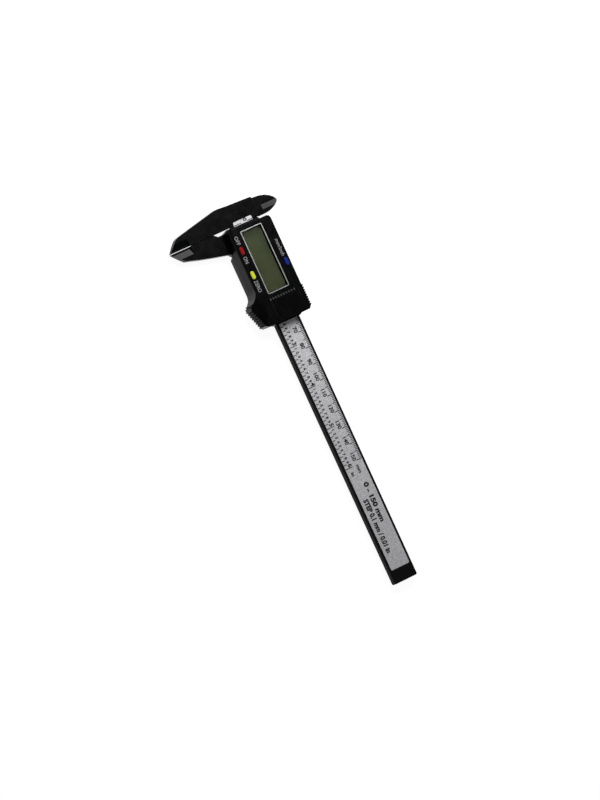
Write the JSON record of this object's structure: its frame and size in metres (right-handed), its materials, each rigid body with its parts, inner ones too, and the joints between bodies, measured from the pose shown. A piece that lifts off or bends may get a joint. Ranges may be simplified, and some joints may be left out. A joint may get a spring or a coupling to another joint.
{
  "type": "digital caliper",
  "caption": "Slim black plastic digital caliper with outside and inside jaws, depth rod, sliding display unit with coloured buttons, and a printed silver scale along the beam.",
  "frame": {"origin": "point on the beam's back face, on its centreline, at the scale's zero where the jaws meet", "axes": "+X along the beam to its free end, +Y towards the inside jaws, +Z out of the display"},
  "size_m": [0.2362, 0.077, 0.0121],
  "materials": {
    "black_plastic": "fine grained black moulded plastic",
    "silver_label": "silver printed film with black graduations",
    "circuit_board": "green solder mask",
    "steel": "plain steel",
    "screw_steel": "dark zinc plated",
    "trim_silver": "silver print",
    "clear_window": "clear polished",
    "lcd": "olive reflective display cell",
    "zebra": "elastomer connector",
    "potting": "black epoxy",
    "cell_can": "nickel plated can",
    "spring_leaf": "plated spring brass",
    "red_button": "red moulded",
    "yellow_button": "yellow moulded",
    "blue_button": "blue moulded"
  },
  "bodies": {
    "beam_body": {"beam": "black_plastic", "stator_strip": "circuit_board", "scale_label": "silver_label", "end_stop": "steel", "end_stop_screws": "screw_steel"},
    "slider": {"slider_frame": "black_plastic", "back_cover": "black_plastic", "cover_screws": "screw_steel", "front_cover": "black_plastic", "display_trim": "trim_silver", "display_window": "clear_window", "lcd_glass": "lcd", "zebra_strip": "zebra", "reader_board": "circuit_board", "board_screws": "screw_steel", "chip_blob": "potting", "crystal": "steel", "board_capacitors": "potting", "key_domes": "spring_leaf", "battery": "cell_can", "battery_contact_positive": "spring_leaf", "battery_contact_negative": "spring_leaf", "depth_rod": "steel", "depth_rod_screw": "screw_steel"},
    "battery_lid": {"battery_cover": "black_plastic"},
    "power_button": {"button_power": "red_button"},
    "zero_button": {"button_zero": "yellow_button"},
    "unit_button": {"button_unit": "blue_button"}
  },
  "joints": [
    {"name": "slider_travel", "type": "slide", "parent": "beam_body", "child": "slider", "axis": [1, 0, 0], "range_m": [0, 0.153]},
    {"name": "battery_lid_slide", "type": "slide", "parent": "slider", "child": "battery_lid", "axis": [1, 0, 0], "range_m": [0, 0.016]},
    {"name": "power_button_press", "type": "slide", "parent": "slider", "child": "power_button", "axis": [0, 0, -1], "range_m": [0, 0.0004], "stiffness_N_per_m": 2500, "springref_m": -0.0002},
    {"name": "zero_button_press", "type": "slide", "parent": "slider", "child": "zero_button", "axis": [0, 0, -1], "range_m": [0, 0.0004], "stiffness_N_per_m": 2500, "springref_m": -0.0002},
    {"name": "unit_button_press", "type": "slide", "parent": "slider", "child": "unit_button", "axis": [0, 0, -1], "range_m": [0, 0.0004], "stiffness_N_per_m": 2500, "springref_m": -0.0002}
  ]
}
